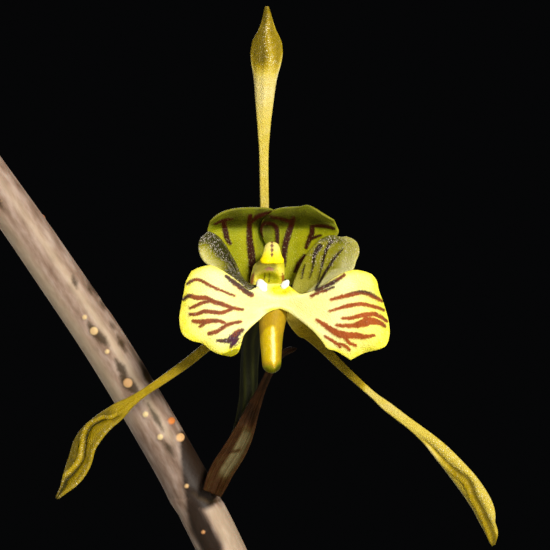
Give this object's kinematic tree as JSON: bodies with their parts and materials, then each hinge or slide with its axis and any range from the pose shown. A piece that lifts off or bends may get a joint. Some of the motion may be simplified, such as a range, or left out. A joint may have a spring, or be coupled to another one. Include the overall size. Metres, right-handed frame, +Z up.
{
  "type": "potted orchid",
  "caption": "Potted ground orchid with mottled waved leaves and an arching stem of yellow-green flowers striped red-brown, in a plain clay pot.",
  "frame": {"origin": "centre of the pot's flat base, where it stands", "axes": "+Z up along the pot's axis, the front flower looks along -Y, +X to the right as seen from the front"},
  "size_m": [0.1852, 0.1363, 0.3244],
  "materials": {
    "clay": "matte",
    "bark_mix": "matte",
    "bulb": "satin",
    "leaf": "satin",
    "stem": "satin",
    "sepal": "satin",
    "petal": "satin",
    "lip": "satin",
    "column": "satin",
    "anther_cap": "satin",
    "stalk": "satin",
    "bud": "satin",
    "bract": "matte"
  },
  "bodies": {
    "root": {"pot": "clay", "potting_mix": "bark_mix", "bulb_back": "bulb", "bulb_right": "bulb", "bulb_left": "bulb", "bulb_front": "bulb", "flower_stem": "stem", "front_sepal_dorsal": "sepal", "front_sepal_left": "sepal", "front_sepal_right": "sepal", "front_petal_left": "petal", "front_petal_right": "petal", "front_lip": "lip", "front_column": "column", "front_anther_cap": "anther_cap", "front_ovary": "stalk", "front_bract": "bract", "leaf_1": "leaf", "leaf_2": "leaf", "leaf_3": "leaf", "leaf_4": "leaf", "leaf_5": "leaf", "leaf_6": "leaf", "leaf_7": "leaf", "leaf_8": "leaf", "second_flower": "petal", "second_lip": "lip", "second_bract": "bract", "third_flower": "petal", "third_lip": "lip", "third_bract": "bract", "fourth_flower": "petal", "fourth_lip": "lip", "fourth_bract": "bract", "bud_1": "bud", "bud_bract_1": "bract", "bud_2": "bud", "bud_bract_2": "bract", "bud_3": "bud", "bud_bract_3": "bract", "bud_4": "bud", "bud_bract_4": "bract", "bud_5": "bud"}
  },
  "joints": []
}
